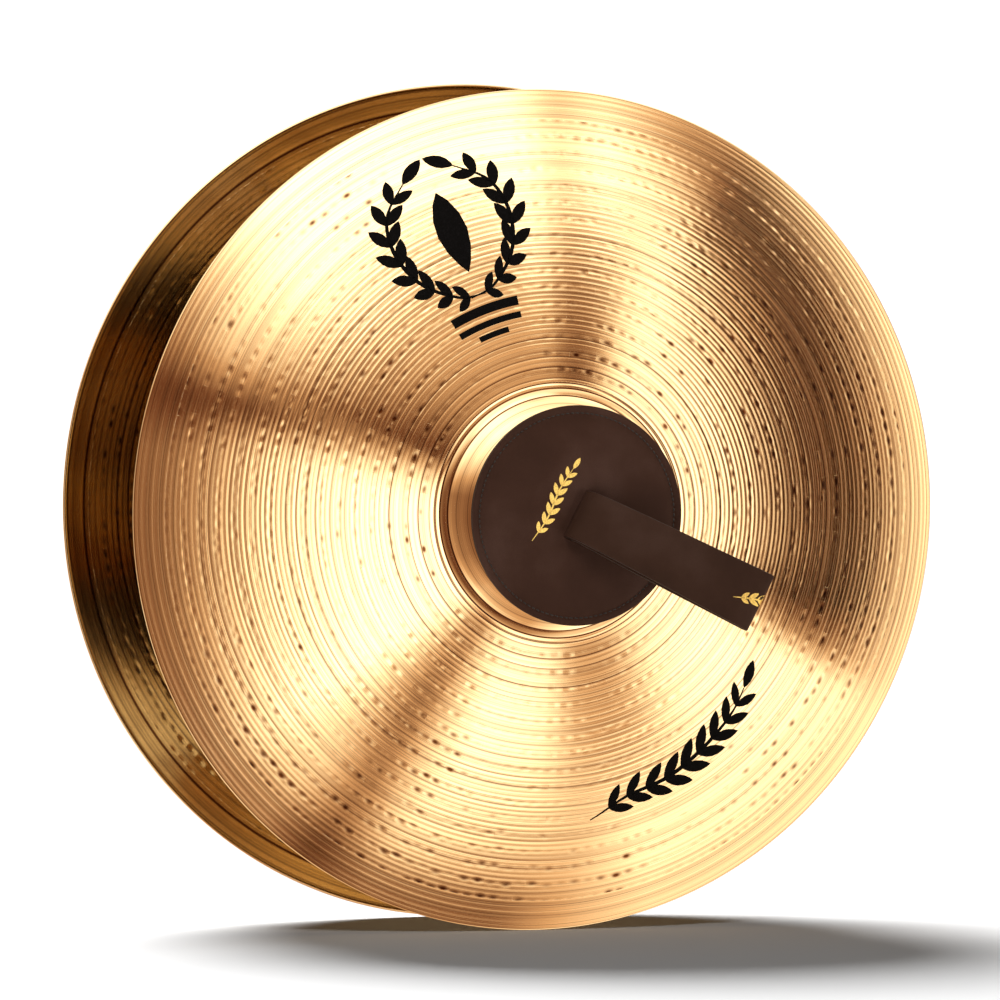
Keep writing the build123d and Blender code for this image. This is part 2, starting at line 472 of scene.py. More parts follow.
class Nodes:
    """Short ways to wire a node tree; an operand is a number, a colour or an output socket."""

    def __init__(self, tree):
        self.tree = tree
        tree.nodes.clear()

    def node(self, kind, **values):
        """Adds a node; values are its settings, or the defaults of its inputs."""
        made = self.tree.nodes.new(kind)
        for key, value in values.items():
            if hasattr(made, key):
                setattr(made, key, value)
            else:
                made.inputs[key.replace("_", " ")].default_value = value
        return made

    def feed(self, made, entry, value):
        """Sets an input of a node to the operand, or links it, and returns the node."""
        if isinstance(value, (tuple, list)):
            made.inputs[entry].default_value = (*value[:3], 1.0)
        elif isinstance(value, (int, float)):
            made.inputs[entry].default_value = value
        elif value is not None:
            self.tree.links.new(value, made.inputs[entry])
        return made

    def maths(self, operation, first, second=None):
        made = self.feed(self.node("ShaderNodeMath", operation=operation), 0, first)
        return self.feed(made, 1, second).outputs[0]

    def ramp(self, source, stops):
        """A colour ramp over the source; stops are (position, colour)."""
        made = self.feed(self.node("ShaderNodeValToRGB"), "Fac", source)
        elements = made.color_ramp.elements
        for element, (position, colour) in zip((elements[0], elements[1]), (stops[0], stops[-1])):
            element.position, element.color = position, (*colour, 1.0)
        for position, colour in stops[1:-1]:
            elements.new(position).color = (*colour, 1.0)
        return made.outputs["Color"]

    def grey_ramp(self, source, stops):
        """A ramp of plain levels; stops are (position, level)."""
        return self.ramp(source, [(position, (level,) * 3) for position, level in stops])

    def mix(self, factor, first, second, blend="MIX"):
        """Mixes two colours."""
        made = self.node("ShaderNodeMix", data_type="RGBA", blend_type=blend)
        for entry, value in ((0, factor), (6, first), (7, second)):
            self.feed(made, entry, value)
        return made.outputs[2]

    def span(self, source, low, high, start=0.0, stop=1.0):
        """Maps values from start to stop onto low to high, and holds them there beyond."""
        made = self.node("ShaderNodeMapRange", From_Min=start, From_Max=stop, To_Min=low, To_Max=high)
        return self.feed(made, "Value", source).outputs["Result"]

    def parts(self, vector):
        """The x, y and z of a vector."""
        return self.feed(self.node("ShaderNodeSeparateXYZ"), 0, vector).outputs


class Finish(Nodes):
    """A node material under construction."""

    def __init__(self, name):
        self.material = bpy.data.materials.new(name)
        self.material.use_nodes = True
        super().__init__(self.material.node_tree)
        self.shader = self.node("ShaderNodeBsdfPrincipled")
        self.feed(self.node("ShaderNodeOutputMaterial"), "Surface", self.shader.outputs["BSDF"])

    def place(self):
        """Object coordinates."""
        return self.node("ShaderNodeTexCoord").outputs["Object"]

    def noise(self, scale, detail, roughness=0.5):
        """Cloudy noise through the piece."""
        made = self.node("ShaderNodeTexNoise", Scale=scale, Detail=detail, Roughness=roughness)
        return self.feed(made, "Vector", self.place()).outputs[0]

    def bump(self, height, strength, distance, under=None):
        """A bump over an optional earlier one."""
        made = self.node("ShaderNodeBump", Strength=strength, Distance=distance)
        return self.feed(self.feed(made, "Height", height), "Normal", under).outputs["Normal"]

    def set(self, **values):
        """Constants on the shader's own sockets, or outputs linked to them."""
        for key, value in values.items():
            self.feed(self.shader, key.replace("_", " "), value)


def radius_from_axis(finish):
    """Distance of a point from the cymbals' common axis."""
    x, _, z = finish.parts(finish.place())
    squares = finish.maths("ADD", finish.maths("MULTIPLY", x, x), finish.maths("MULTIPLY", z, z))
    return finish.maths("SQRT", squares)


def rings_of_noise(finish, radius, per_metre, detail=2.0):
    """Noise that depends on the radius alone, like marks of a lathe tool."""
    made = finish.node("ShaderNodeTexNoise", noise_dimensions="1D", Detail=detail, Scale=1.0)
    return finish.feed(made, "W", finish.maths("MULTIPLY", radius, per_metre)).outputs[0]


def hammering(finish, radius, settings):
    """Rows of small hammer marks round the plate, as a height that is below 0 in the marks."""
    maths, span = finish.maths, finish.span
    x, _, z = finish.parts(finish.place())
    clock = maths("ARCTAN2", x, z)
    pitch, spacing = settings.dent_spacing, 0.85 * settings.dent_spacing
    inner, outer = settings.bell_radius + 0.007, RIM_RADIUS - 0.018
    mark_radius, wander = 0.0011, 0.0009
    row = maths("FLOOR", maths("DIVIDE", maths("SUBTRACT", radius, inner), pitch))
    middle = maths("ADD", maths("MULTIPLY", maths("ADD", row, 0.5), pitch), inner)
    # three rows at a time stand in line
    block = maths("ADD", maths("MULTIPLY", maths("FLOOR", maths("DIVIDE", row, 3.0)), 3.0), 1.5)
    girth = maths("ADD", maths("MULTIPLY", block, pitch), inner)
    count = maths("ROUND", maths("MULTIPLY", girth, 2 * pi / spacing))
    phase = maths("MULTIPLY", maths("ADD", maths("DIVIDE", clock, 2 * pi), 1.0), count)
    key = finish.feed(finish.node("ShaderNodeCombineXYZ"), 0, row)
    finish.feed(key, 1, maths("FLOOR", phase))
    dice = finish.node("ShaderNodeTexWhiteNoise", noise_dimensions="2D")
    finish.feed(dice, "Vector", key.outputs[0])
    chance = finish.feed(finish.node("ShaderNodeSeparateColor"), 0, dice.outputs["Color"]).outputs
    along = maths("SUBTRACT", maths("FRACT", phase), span(chance[0], 0.40, 0.60))
    aside = maths("SUBTRACT", maths("SUBTRACT", radius, middle), span(chance[1], -wander, wander))
    distance = maths(
        "ADD",
        maths("POWER", maths("MULTIPLY", along, spacing * 0.55), 2.0),
        maths("POWER", maths("MULTIPLY", aside, 1.1), 2.0),
    )
    pit = maths("EXPONENT", maths("DIVIDE", distance, -2 * mark_radius**2))
    pit = maths("MULTIPLY", pit, span(chance[2], -1.3, -0.1))
    inside = maths("MULTIPLY", maths("GREATER_THAN", radius, inner), maths("LESS_THAN", radius, outer))
    return maths("MULTIPLY", pit, inside)


def bronze(settings):
    """Lathed bronze: gold, grooves darkened partly by residue and partly by painted shade, painted shade in
    the hammer marks, highlights drawn out across the grooves.
    """
    finish = Finish("lathed_bronze")
    maths, shades = finish.maths, finish.grey_ramp
    radius = radius_from_axis(finish)
    broad = rings_of_noise(finish, radius, 170.0)
    fine = rings_of_noise(finish, radius, 1500.0, detail=3.0)
    cloud = finish.noise(7.0, 3.0)
    cut = finish.node("ShaderNodeAttribute", attribute_name="tool_cut")
    # partly dark residue, partly painted shade: the deeper a groove is cut (tool_cut), the darker its colour
    line = shades(cut.outputs["Fac"], [(0.40, 0.0), (0.75, 0.4), (1.0, 0.9)])
    scratch = shades(fine, [(0.30, 1.0), (0.42, 0.2), (0.5, 0.0)])
    band = shades(broad, [(0.40, 0.55), (0.52, 0.0), (0.7, 0.0)])
    amount = maths("MAXIMUM", line, maths("MULTIPLY", scratch, 0.45))
    amount = maths("MINIMUM", maths("ADD", amount, maths("MULTIPLY", band, 0.4)), 1.0)
    # painted shade: in cloudy patches the hammer marks are coloured darker, as dents look dark where they
    # mirror away from the light
    marks = hammering(finish, radius, settings)
    dent_shade_patches = shades(cloud, [(0.42, 0.0), (0.55, 1.0)])
    dent_shade = maths("MULTIPLY", maths("MULTIPLY", marks, -0.95), dent_shade_patches)
    amount = maths("MAXIMUM", amount, maths("MINIMUM", dent_shade, 1.0))
    tint = finish.mix(amount, tuple(settings.gold), tuple(settings.copper_and_shade))
    warm = finish.mix(finish.span(cloud, -0.3, 0.3), tint, (1.0, 0.72, 0.45), "MULTIPLY")
    relief = finish.bump(fine, 0.18, 0.00004)
    relief = finish.bump(rings_of_noise(finish, radius, 5200.0), 0.25, 0.00002, relief)
    relief = finish.bump(marks, 1.0, settings.dent_depth, relief)
    tangent = finish.node("ShaderNodeTangent", direction_type="RADIAL", axis="Y")
    finish.set(Metallic=1.0, Anisotropic=0.85, Anisotropic_Rotation=0.25, Specular_IOR_Level=0.5)
    finish.set(Base_Color=warm, Roughness=finish.span(fine, 0.03, 0.13))
    finish.set(Tangent=tangent.outputs[0], Normal=relief)
    return finish.material


def leather(name, colour, grain_scale, wear):
    """Smooth dyed leather: fine pebble grain, matt, with slightly worn, lighter high spots."""
    finish = Finish(name)
    grain = finish.node("ShaderNodeTexVoronoi", feature="F1", Scale=grain_scale, Randomness=1.0)
    pebbles = finish.feed(grain, "Vector", finish.place()).outputs["Distance"]
    pores = finish.noise(grain_scale * 1.7, 4.0, 0.6)
    dark = tuple(c * 0.72 for c in colour)
    light = tuple(min(1.0, c * 1.35 + wear) for c in colour)
    shade = finish.ramp(finish.noise(22.0, 4.0), [(0.3, dark), (0.52, tuple(colour)), (0.75, light)])
    creased = finish.mix(finish.span(pebbles, 0.0, 0.35), shade, dark)
    relief = finish.bump(pores, 0.25, 0.00010, finish.bump(pebbles, 0.22, 0.00012))
    finish.set(Specular_IOR_Level=0.07, Base_Color=creased, Roughness=finish.span(pores, 0.48, 0.72))
    finish.set(Normal=relief)
    return finish.material


def speckled(name, grain, stops, relief=None, **values):
    """A finish whose colour follows a fine noise; relief is a bump's strength and distance."""
    finish = Finish(name)
    speck = finish.noise(*grain)
    finish.set(Base_Color=finish.ramp(speck, stops), **values)
    if relief:
        finish.set(Normal=finish.bump(speck, *relief))
    return finish, speck


def tinted(colour, share):
    """A colour made lighter or darker."""
    return tuple(c * share for c in colour)


def leather_edge(settings):
    """The burnished, blackened cut edge of leather."""
    stops = [(0.4, tinted(settings.colour, 0.28)), (0.7, tinted(settings.colour, 0.5))]
    return speckled("leather_edge", (1400.0, 3.0), stops, (0.3, 0.0001), Roughness=0.5)[0].material


def felt(settings):
    """Pressed wool felt."""
    stops = [(0.35, tinted(settings.felt, 0.7)), (0.65, tuple(settings.felt))]
    values = {"Roughness": 0.95, "Sheen_Weight": 0.4}
    return speckled("pressed_felt", (900.0, 6.0, 0.7), stops, (0.6, 0.0003), **values)[0].material


def waxed_thread(settings):
    """Black waxed thread with a fine twist."""
    stops = [(0.4, tuple(settings.thread)), (0.7, tinted(settings.thread, 2.2))]
    values = {"Roughness": 0.42, "Specular_IOR_Level": 0.5}
    return speckled("waxed_thread", (2600.0, 2.0), stops, (0.5, 0.0001), **values)[0].material


def printed_ink(settings):
    """Matt black ink with a fine speckle."""
    stops = [(0.45, tuple(settings.ink)), (0.8, tinted(settings.ink, 2.5))]
    finish, speck = speckled("printed_ink", (700.0, 3.0), stops, Specular_IOR_Level=0.03)
    finish.set(Roughness=finish.span(speck, 0.4, 0.65))
    return finish.material


def gold_foil(settings):
    """Pressed gold foil with fine breaks from the grain below."""
    stops = [(0.4, tinted(settings.foil, 0.72)), (0.6, tuple(settings.foil))]
    finish, speck = speckled("gold_foil", (1100.0, 4.0), stops, (0.3, 0.00008), Metallic=0.85)
    finish.set(Roughness=finish.span(speck, 0.25, 0.5))
    return finish.material


def floor_paper(settings):
    """Plain pale paper."""
    finish = Finish("floor_paper")
    pale = finish.mix(finish.noise(40.0, 2.0), tinted(settings.floor, 0.995), tuple(settings.floor))
    finish.set(Base_Color=pale, Roughness=1.0, Specular_IOR_Level=0.0)
    return finish.material


def finish_named(name, make, *values):
    """The material of this name, made the first time it is asked for."""
    return bpy.data.materials.get(name) or make(*values)


def pad_leather(settings):
    return finish_named("pad_hide", leather, "pad_hide", settings.colour, 1500.0, 0.010)


def strap_leather(settings):
    return finish_named("strap_hide", leather, "strap_hide", settings.colour, 1900.0, 0.008)


# ---------------------------------------------------------------------------- the plates


def dome_sphere(plate):
    """Radius of the sphere that the bell is part of."""
    rise = BELL_CROWN - plate.bow_height
    return (plate.bell_radius**2 + rise**2) / (2 * rise)


def plate_height(radius, plate):
    """Height of the plate's outer face over the rim plane, before grooves and hammer marks."""
    radius = np.asarray(radius, dtype=float)
    sphere = dome_sphere(plate)
    dome = BELL_CROWN - sphere + np.sqrt(np.maximum(sphere**2 - radius**2, 0.0))
    run, fall = RIM_RADIUS - plate.bell_radius, plate.bow_height - plate.thickness
    chord = hypot(run, fall)
    bow_radius = (chord**2 / 4 + plate.bow_sagitta**2) / (2 * plate.bow_sagitta)
    middle = np.array((plate.bell_radius + run / 2, plate.thickness + fall / 2))
    inward = -np.array((fall, run)) / chord
    centre = middle + inward * (bow_radius - plate.bow_sagitta)
    bow = centre[1] + np.sqrt(np.maximum(bow_radius**2 - (radius - centre[0]) ** 2, 0.0))
    softness = 0.0012
    return np.maximum(dome, bow) + softness * np.log1p(np.exp(-np.abs(dome - bow) / softness))


def groove_rings(rng, start, stop, pitch, depth):
    """Radii and cuts of the lathe's grooves: a steep inner wall and a long outer one."""
    rings = []
    radius = start
    while radius < stop - 0.4 * pitch:
        width = min(pitch * rng.uniform(0.86, 1.14), stop - radius)
        calm = min(1.0, max(0.0, (radius / RIM_RADIUS - 0.55) / 0.38))
        deep = depth * rng.uniform(0.6, 1.15) * (1.0 - 0.65 * calm)
        for share, cut in ((0.0, 0.0), (0.22, 1.0), (0.5, 0.62), (0.78, 0.2)):
            rings.append((radius + width * share, deep * cut))
        radius += width
    return rings


def plate_mesh(plate, seed, segments):
    """Points and faces of one plate in seat coordinates."""
    rng = np.random.default_rng(seed)
    foot = plate.bell_radius
    bell = [(r, 0.0) for r in np.linspace(plate.hole_radius + 0.0004, foot - 0.006, 22)]
    ledges = []
    for ledge, cut in ((foot - 0.0032, 0.00022), (foot + 0.0012, 0.00030), (foot + 0.0044, 0.00018)):
        ledges.extend([(ledge - 0.0006, 0.0), (ledge, cut), (ledge + 0.0006, 0.0)])
    bow = groove_rings(rng, foot + 0.0065, RIM_RADIUS - 0.0022, plate.groove_pitch, plate.groove_depth)
    outer = np.array(bell + ledges + bow + [(RIM_RADIUS - 0.0018, 0.0), (RIM_RADIUS - 0.0009, 0.0)])
    angles = np.linspace(0.0, 2 * pi, segments, endpoint=False)
    flat = np.zeros_like(angles)
    top = (plate_height(outer[:, 0], plate) - outer[:, 1])[:, None] + flat
    top_radius = outer[:, 0][:, None] + flat

    count = int((RIM_RADIUS - plate.hole_radius) / (1.3 * plate.groove_pitch)) * 2
    under_radius = np.linspace(RIM_RADIUS - 0.0010, plate.hole_radius + 0.0004, count)
    under_cut = np.where(np.arange(count) % 2 == 0, 0.0, 1.1 * plate.groove_depth)
    under_cut = under_cut * rng.uniform(0.5, 1.1, count)
    slope = np.gradient(plate_height(under_radius, plate), under_radius)
    down = plate.thickness * np.sqrt(1 + slope**2) - under_cut
    under = (plate_height(under_radius, plate) - down)[:, None] + flat
    rim_top = float(plate_height(RIM_RADIUS - 0.0009, plate))
    rim = [
        (RIM_RADIUS - 0.0003, rim_top - 0.00022),
        (RIM_RADIUS, rim_top - 0.0006),
        (RIM_RADIUS - 0.0002, rim_top - 0.0011),
    ]
    hole_height = float(plate_height(plate.hole_radius, plate))
    hole = [(plate.hole_radius, hole_height - plate.thickness * share) for share in (0.8, 0.2)]
    radius = np.vstack(
        [top_radius, [r + flat for r, _ in rim], under_radius[:, None] + flat, [r + flat for r, _ in hole]]
    )
    height = np.vstack([top, [h + flat for _, h in rim], under, [h + flat for _, h in hole]])
    points = np.stack([radius * np.cos(angles), radius * np.sin(angles), height], axis=2).reshape(-1, 3)
    cuts = np.concatenate([outer[:, 1], np.zeros(len(rim)), under_cut, np.zeros(len(hole))])
    # cut depth at each point, which the bronze turns into darker grooves: partly residue, partly painted
    # shade
    shade = np.repeat(cuts / plate.groove_depth, segments)
    return points, grid_faces(len(radius), segments, wrap_rows=True, wrap_columns=True), shade


class CYMBALS_OT_plates(Operator):
    """Makes the two lathed and hammered bronze plates"""

    bl_idname = "cymbals.plates"
    bl_label = "Bronze plates"

    def execute(self, context):
        plate = context.scene.cymbal_plate
        material = finish_named("lathed_bronze", bronze, plate)
        segments = 250
        for number, side in enumerate(SIDES):
            points, faces, shade = plate_mesh(plate, 40 + number, segments)
            piece = add_mesh(f"{side}_plate_lathed", points, faces, seat_matrix(side), material)
            cuts = piece.data.attributes.new("tool_cut", "FLOAT", "POINT")
            cuts.data.foreach_set("value", shade.astype(np.float32))
            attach(piece, f"{side}_plate")
            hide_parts(f"{side}_cymbal")
        return {"FINISHED"}


# ---------------------------------------------------------------------------- the pads


def pad_matrix(side):
    """Like strap_matrix, but with heights counted from the rim plane."""
    return strap_matrix(side) @ Matrix.Translation((0.0, 0.0, -CREASE_HEIGHT))


def slot_distance(x, y, pad):
    """How far a point lies outside the slit."""
    aside = np.maximum(np.abs(x) - pad.slot_width / 2, 0.0)
    beyond = np.maximum(np.abs(y) - pad.slot_length / 2, 0.0)
    return np.hypot(aside, beyond)


def stitch_pull(radius, pad):
    """How far the stitches draw the leather in, from 0 to 1."""
    stitch_line = PAD_RADIUS - pad.stitch_inset
    return np.exp(-(((radius - stitch_line) / 0.0011) ** 2))


def cover_height(x, y, pad):
    """Outer face of the cover: a pillow, drawn down along the stitches and round the slit."""
    radius = np.hypot(x, y)
    flange_radius = PAD_RADIUS - pad.flange
    foot = SEAM_HEIGHT + pad.leather
    share = np.clip(radius / flange_radius, 0.0, 1.0)
    pillow = (PAD_TOP + 0.0005 - foot) * (1.0 - share**3.4) ** 0.8
    pull = 0.00055 * stitch_pull(radius, pad)
    turn = np.arctan2(y, x)
    puckers = 1.0 + 0.35 * np.cos(pad.stitch_count * turn)
    sag = 0.00025 * np.cos(3 * turn + 0.6) * share**2 + 0.00016 * np.cos(5 * turn + 2.0) * share**3
    tuck = 0.0011 * np.exp(-((slot_distance(x, y, pad) / 0.0042) ** 2))
    return foot + pillow - pull * puckers + sag * (1.0 - share) ** 0.3 - tuck


def backing_height(x, y, pad):
    """Outer face of the backing: it follows the bell and then rises to the sewn edge."""
    radius = np.hypot(x, y)
    sphere = dome_sphere(bpy.context.scene.cymbal_plate) + pad.clearance
    seat = pad.seat_radius
    top = BELL_CROWN + pad.clearance
    lies = top - sphere + np.sqrt(np.maximum(sphere**2 - radius**2, 0.0))
    start = np.array((seat, top - sphere + sqrt(sphere**2 - seat**2)))
    normal = start - np.array((0.0, top - sphere))
    normal /= np.linalg.norm(normal)
    chord = np.array((PAD_RADIUS - pad.flange, SEAM_HEIGHT - pad.leather)) - start
    bend = chord @ chord / (2 * chord @ normal)
    middle = start + normal * bend
    away = np.clip(radius, seat, PAD_RADIUS - pad.flange) - middle[0]
    rises = middle[1] - np.sqrt(np.maximum(bend**2 - away**2, 0.0))
    pull = 0.0004 * stitch_pull(radius, pad)
    return np.where(radius < seat, lies, rises) + pull


def slotted_rings(pad, radii, grow, segments):
    """Grid of flat points from the slit's outline out to circles; grow widens the slit."""
    angles = np.linspace(0.0, 2 * pi, segments, endpoint=False)
    c, s = np.cos(angles), np.sin(angles)
    half_x, half_y = pad.slot_width / 2 + grow, pad.slot_length / 2 + grow
    reach = 1.0 / (((np.abs(c) / half_x) ** 10 + (np.abs(s) / half_y) ** 10) ** 0.1)
    rows = []
    for radius in radii:
        share = min(1.0, radius / ROUND_FROM)
        length = (1.0 - share) * reach + share * radius
        rows.append(np.stack([length * c, length * s], axis=1))
    return np.array(rows)


def leather_disc(pad, outside, inward, edge, grow, segments):
    """A closed leather disc with the slit in it: outside gives its face, inward the way to its back."""
    radii = np.concatenate(
        [
            np.linspace(0.0, ROUND_FROM, 16),
            np.linspace(0.0325, PAD_RADIUS - pad.flange - 0.002, 13),
            np.linspace(PAD_RADIUS - pad.flange, edge - 0.0006, 11),
        ]
    )
    flat = slotted_rings(pad, radii, grow, segments)
    face = outside(flat[..., 0], flat[..., 1], pad)
    rows = [np.dstack([flat, face])]
    thick = inward * pad.leather
    for bulge, share in ((0.0004, 0.12), (0.0006, 0.35), (0.0006, 0.65), (0.0004, 0.88)):
        ring = flat[-1] * ((edge - 0.0006 + bulge) / (edge - 0.0006))
        rows.append(np.column_stack([ring, face[-1] + thick * share]))
    rows.append(np.dstack([flat, face + thick])[::-1])
    for share in (0.7, 0.3):
        rows.append(np.column_stack([flat[0] * 0.985, face[0] + thick * share]))
    grid = np.concatenate([row.reshape(-1, segments, 3) for row in rows])
    return grid.reshape(-1, 3), grid_faces(len(grid), segments, wrap_rows=True, wrap_columns=True)


def felt_filling(pad, segments):
    """The filling between the two leather discs."""
    gap = pad.leather + 0.0004
    outermost = PAD_RADIUS - pad.flange - 0.0016
    radii = np.concatenate([np.linspace(0.0, ROUND_FROM, 8), np.linspace(0.036, outermost, 9)])
    flat = slotted_rings(pad, radii, 0.0, segments)
    top = cover_height(flat[..., 0], flat[..., 1], pad) - gap
    low = backing_height(flat[..., 0], flat[..., 1], pad) + gap
    low = np.minimum(low, top - 0.0004)
    grid = np.concatenate([np.dstack([flat, top]), np.dstack([flat, low])[::-1]])
    return grid.reshape(-1, 3), grid_faces(len(grid), segments, wrap_rows=True, wrap_columns=True)


def stitch_rings(pad):
    """Every stitch on both faces of the sewn edge, each dipping into the leather at its ends."""
    parts = []
    line = PAD_RADIUS - pad.stitch_inset
    length, width = 0.0022, 0.0008
    for face, outward in ((cover_height, 1), (backing_height, -1)):
        for k in range(pad.stitch_count):
            angle = 2 * pi * (k + 0.5) / pad.stitch_count
            lean = radians(6)
            path, across = [], []
            for share in (-0.5, -0.4, -0.2, 0.0, 0.2, 0.4, 0.5):
                turn = angle + share * length / line
                radius = line + share * length * lean
                x, y = radius * cos(turn), radius * sin(turn)
                rise = 0.00026 * cos(pi * share) ** 0.5 - 0.00012 if abs(share) < 0.5 else -0.0004
                path.append((x, y, float(face(x, y, pad)) + outward * rise))
                across.append((cos(turn), sin(turn), 0.0))
            widths = [width * w for w in (0.45, 0.85, 1.0, 1.0, 1.0, 0.85, 0.45)]
            parts.append(band(path, across, widths, 0.00056, across=2, edge=0.00026))
    return join_parts(parts)


class CYMBALS_OT_pads(Operator):
    """Makes the leather discs, felt filling and stitches of both pads"""

    bl_idname = "cymbals.pads"
    bl_label = "Leather pads"

    def execute(self, context):
        pad = context.scene.cymbal_pad
        skin, edge_paint = pad_leather(pad), finish_named("leather_edge", leather_edge, pad)
        segments = pad.stitch_count * 4
        for side in SIDES:
            matrix = pad_matrix(side)
            points, faces = leather_disc(pad, cover_height, -1, PAD_RADIUS, 0.0, segments)
            cover = add_mesh(f"{side}_pad_cover_leather", points, faces, matrix, skin)
            points, faces = leather_disc(pad, backing_height, 1, PAD_RADIUS - 0.0002, 0.0, segments)
            backing = add_mesh(f"{side}_pad_backing_leather", points, faces, matrix, skin)
            points, faces = felt_filling(pad, pad.stitch_count)
            wool = finish_named("pressed_felt", felt, pad)
            filling = add_mesh(f"{side}_pad_filling_felt", points, faces, matrix, wool)
            points, faces = stitch_rings(pad)
            thread = finish_named("waxed_thread", waxed_thread, pad)
            stitches = add_mesh(f"{side}_pad_stitches", points, faces, matrix, thread)
            for piece, node, slot in (
                (cover, "pad_cover", "pad_leather"),
                (backing, "pad_backing", "pad_leather"),
                (filling, "pad_filling", "pad_felt"),
                (stitches, "pad_stitching", "thread"),
            ):
                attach(piece, f"{side}_harness")
                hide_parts(f"{side}_{node}")
            centre = Vector(joint(f"{side}_harness_turn")["pos_m"])
            for piece in (cover, backing):
                paint_faces(piece, edge_paint, lambda face: is_disc_edge(face, centre))
        return {"FINISHED"}


def is_disc_edge(face, centre):
    """Whether a face of a pad lies on its cut outer edge."""
    out = Vector((face.center.x - centre.x, 0.0, face.center.z - centre.z))
    return out.length > PAD_RADIUS - 0.0008 and face.normal.dot(out.normalized()) > 0.6


# ---------------------------------------------------------------------------- the straps


def strap_path(strap, count):
    """Middle line of the strap, as (along, out) from the crease: up one leg, round the fold and back."""
    lift, spread = strap.lift, strap.spread

    def loop(u, v):
        return (u * cos(lift) - v * sin(lift), u * sin(lift) + v * cos(lift))

    end = strap.length - strap.thickness / 2
    fold = 0.0031
    upper = [
        (-0.0017, -0.0140),
        (-0.0018, -0.0070),
        (-0.0016, -0.0010),
        loop(0.0015, 0.0034),
        loop(0.0062, 0.0053),
        loop(0.016, 0.93 * spread),
        loop(0.034, spread),
        loop(0.060, 0.92 * spread),
        loop(0.088, 0.66 * spread),
        loop(end - 0.009, fold + 0.0003),
        loop(end - fold, fold),
        loop(end - 0.3 * fold, 0.72 * fold),
    ]
    lower = [
        loop(end, 0.0),
        loop(end - 0.3 * fold, -0.72 * fold),
        loop(end - fold, -fold),
        loop(end - 0.009, -fold - 0.0003),
        loop(0.088, -0.66 * spread),
        loop(0.060, -0.92 * spread),
        loop(0.034, -spread),
        loop(0.018, -0.86 * spread),
        loop(0.0085, -0.0046),
        (0.0040, -0.0012),
        (0.0020, -0.0060),
        (0.0017, -0.0140),
    ]
    return smooth_path(upper + lower, count)


def strap_width(strap, along, out):
    """Width of the strap at a point of its middle line."""
    reach = along * cos(strap.lift) + out * sin(strap.lift)
    share = min(1.0, max(0.0, reach / strap.length))
    return strap.neck_width + (strap.fold_width - strap.neck_width) * share


def strap_band(strap, count):
    """Points and faces of the folded strap in strap coordinates."""
    line = strap_path(strap, count)
    path = [(a, 0.0, z) for a, z in line]
    widths = [strap_width(strap, a, z) for a, z in line]
    return band(path, [(0.0, 1.0, 0.0)] * count, widths, strap.thickness, across=9)


def tail_bands(strap):
    """The four tails, from the strap's legs through the hole to the knot."""
    parts = []
    neck = strap.neck_width / 4
    for leg in (1, -1):
        for half in (1, -1):
            rows = [
                (0.0017, neck, 0.0815, 2 * neck - 0.0003),
                (0.0017, 0.92 * neck, 0.0795, 1.85 * neck),
                (0.0017, 0.66 * neck, 0.0762, 1.30 * neck),
                (0.0017, 0.42 * neck, 0.0730, 0.80 * neck),
                (0.0017, 0.0029, 0.0712, strap.tail_width),
                (0.0017, 0.0028, 0.0695, strap.tail_width),
                (0.0018, 0.0029, KNOT_TOP - 0.0008, strap.tail_width),
            ]
            line = smooth_path(rows, 22)
            path = [(leg * a, half * b, h) for a, b, h, _ in line]
            parts.append(band(path, [(0.0, 1.0, 0.0)] * 22, line[:, 3], strap.thickness, across=5))
    return parts


def knot_strands(strap):
    """A crown knot: each tail turns outwards, folds back over one neighbour and under the next."""
    wide, row = strap.knot_strand, strap.knot_strand / 2 + 0.0003
    top = KNOT_TOP
    rows = [
        (0.0017, 0.0028, top + 0.0004, 0.0052),
        (0.0050, 0.0042, top - 0.0012, 0.0072),
        (0.0100, row, top - 0.0021, wide),
        (0.0136, row, top - 0.0050, wide),
        (0.0118, row, top - 0.0088, wide),
        (0.0050, row, top - 0.0103, wide),
        (0.0000, row, top - 0.0086, wide),
        (-0.0050, row, top - 0.0068, wide),
        (-0.0120, row, top - 0.0069, wide),
        (-0.0200, row + 0.0004, top - 0.0078, wide),
        (-0.0276, row + 0.0010, top - 0.0092, 0.88 * wide),
    ]
    line = smooth_path(rows, 64)
    thin = np.linspace(1.0, 0.75, 64) * 0.0026
    parts = []
    for quarter in range(4):
        c, s = round(cos(pi / 2 * quarter)), round(sin(pi / 2 * quarter))
        path = [(a * c - b * s, a * s + b * c, h) for a, b, h, _ in line]
        parts.append(band(path, [(-s, c, 0.0)] * 64, line[:, 3], thin, across=5))
    return parts


class CYMBALS_OT_straps(Operator):
    """Makes the folded straps, their tails and their knots"""

    bl_idname = "cymbals.straps"
    bl_label = "Leather straps"

    def execute(self, context):
        strap = context.scene.cymbal_strap
        pad = context.scene.cymbal_pad
        hide, edge_paint = strap_leather(strap), finish_named("leather_edge", leather_edge, pad)
        for side in SIDES:
            matrix = strap_matrix(side)
            slit = matrix.to_3x3() @ Vector((0.0, 1.0, 0.0))
            points, faces = strap_band(strap, 150)
            loop = add_mesh(f"{side}_strap_loop", points, faces, matrix, hide)
            paint_faces(loop, edge_paint, lambda face: abs(face.normal.dot(slit)) > 0.75)
            along = Vector((cos(strap.lift), 0.0, sin(strap.lift)))
            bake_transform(loop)
            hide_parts(f"{side}_strap_grip")
            for name, parts, node in (
                ("tails", tail_bands(strap), "strap_tails"),
                ("knot", knot_strands(strap), "strap_knot"),
            ):
                points, faces = join_parts(parts)
                piece = add_mesh(f"{side}_strap_{name}_leather", points, faces, pad_matrix(side), hide)
                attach(piece, f"{side}_harness")
                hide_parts(f"{side}_{node}")
        return {"FINISHED"}


# ---------------------------------------------------------------------------- plain ornament


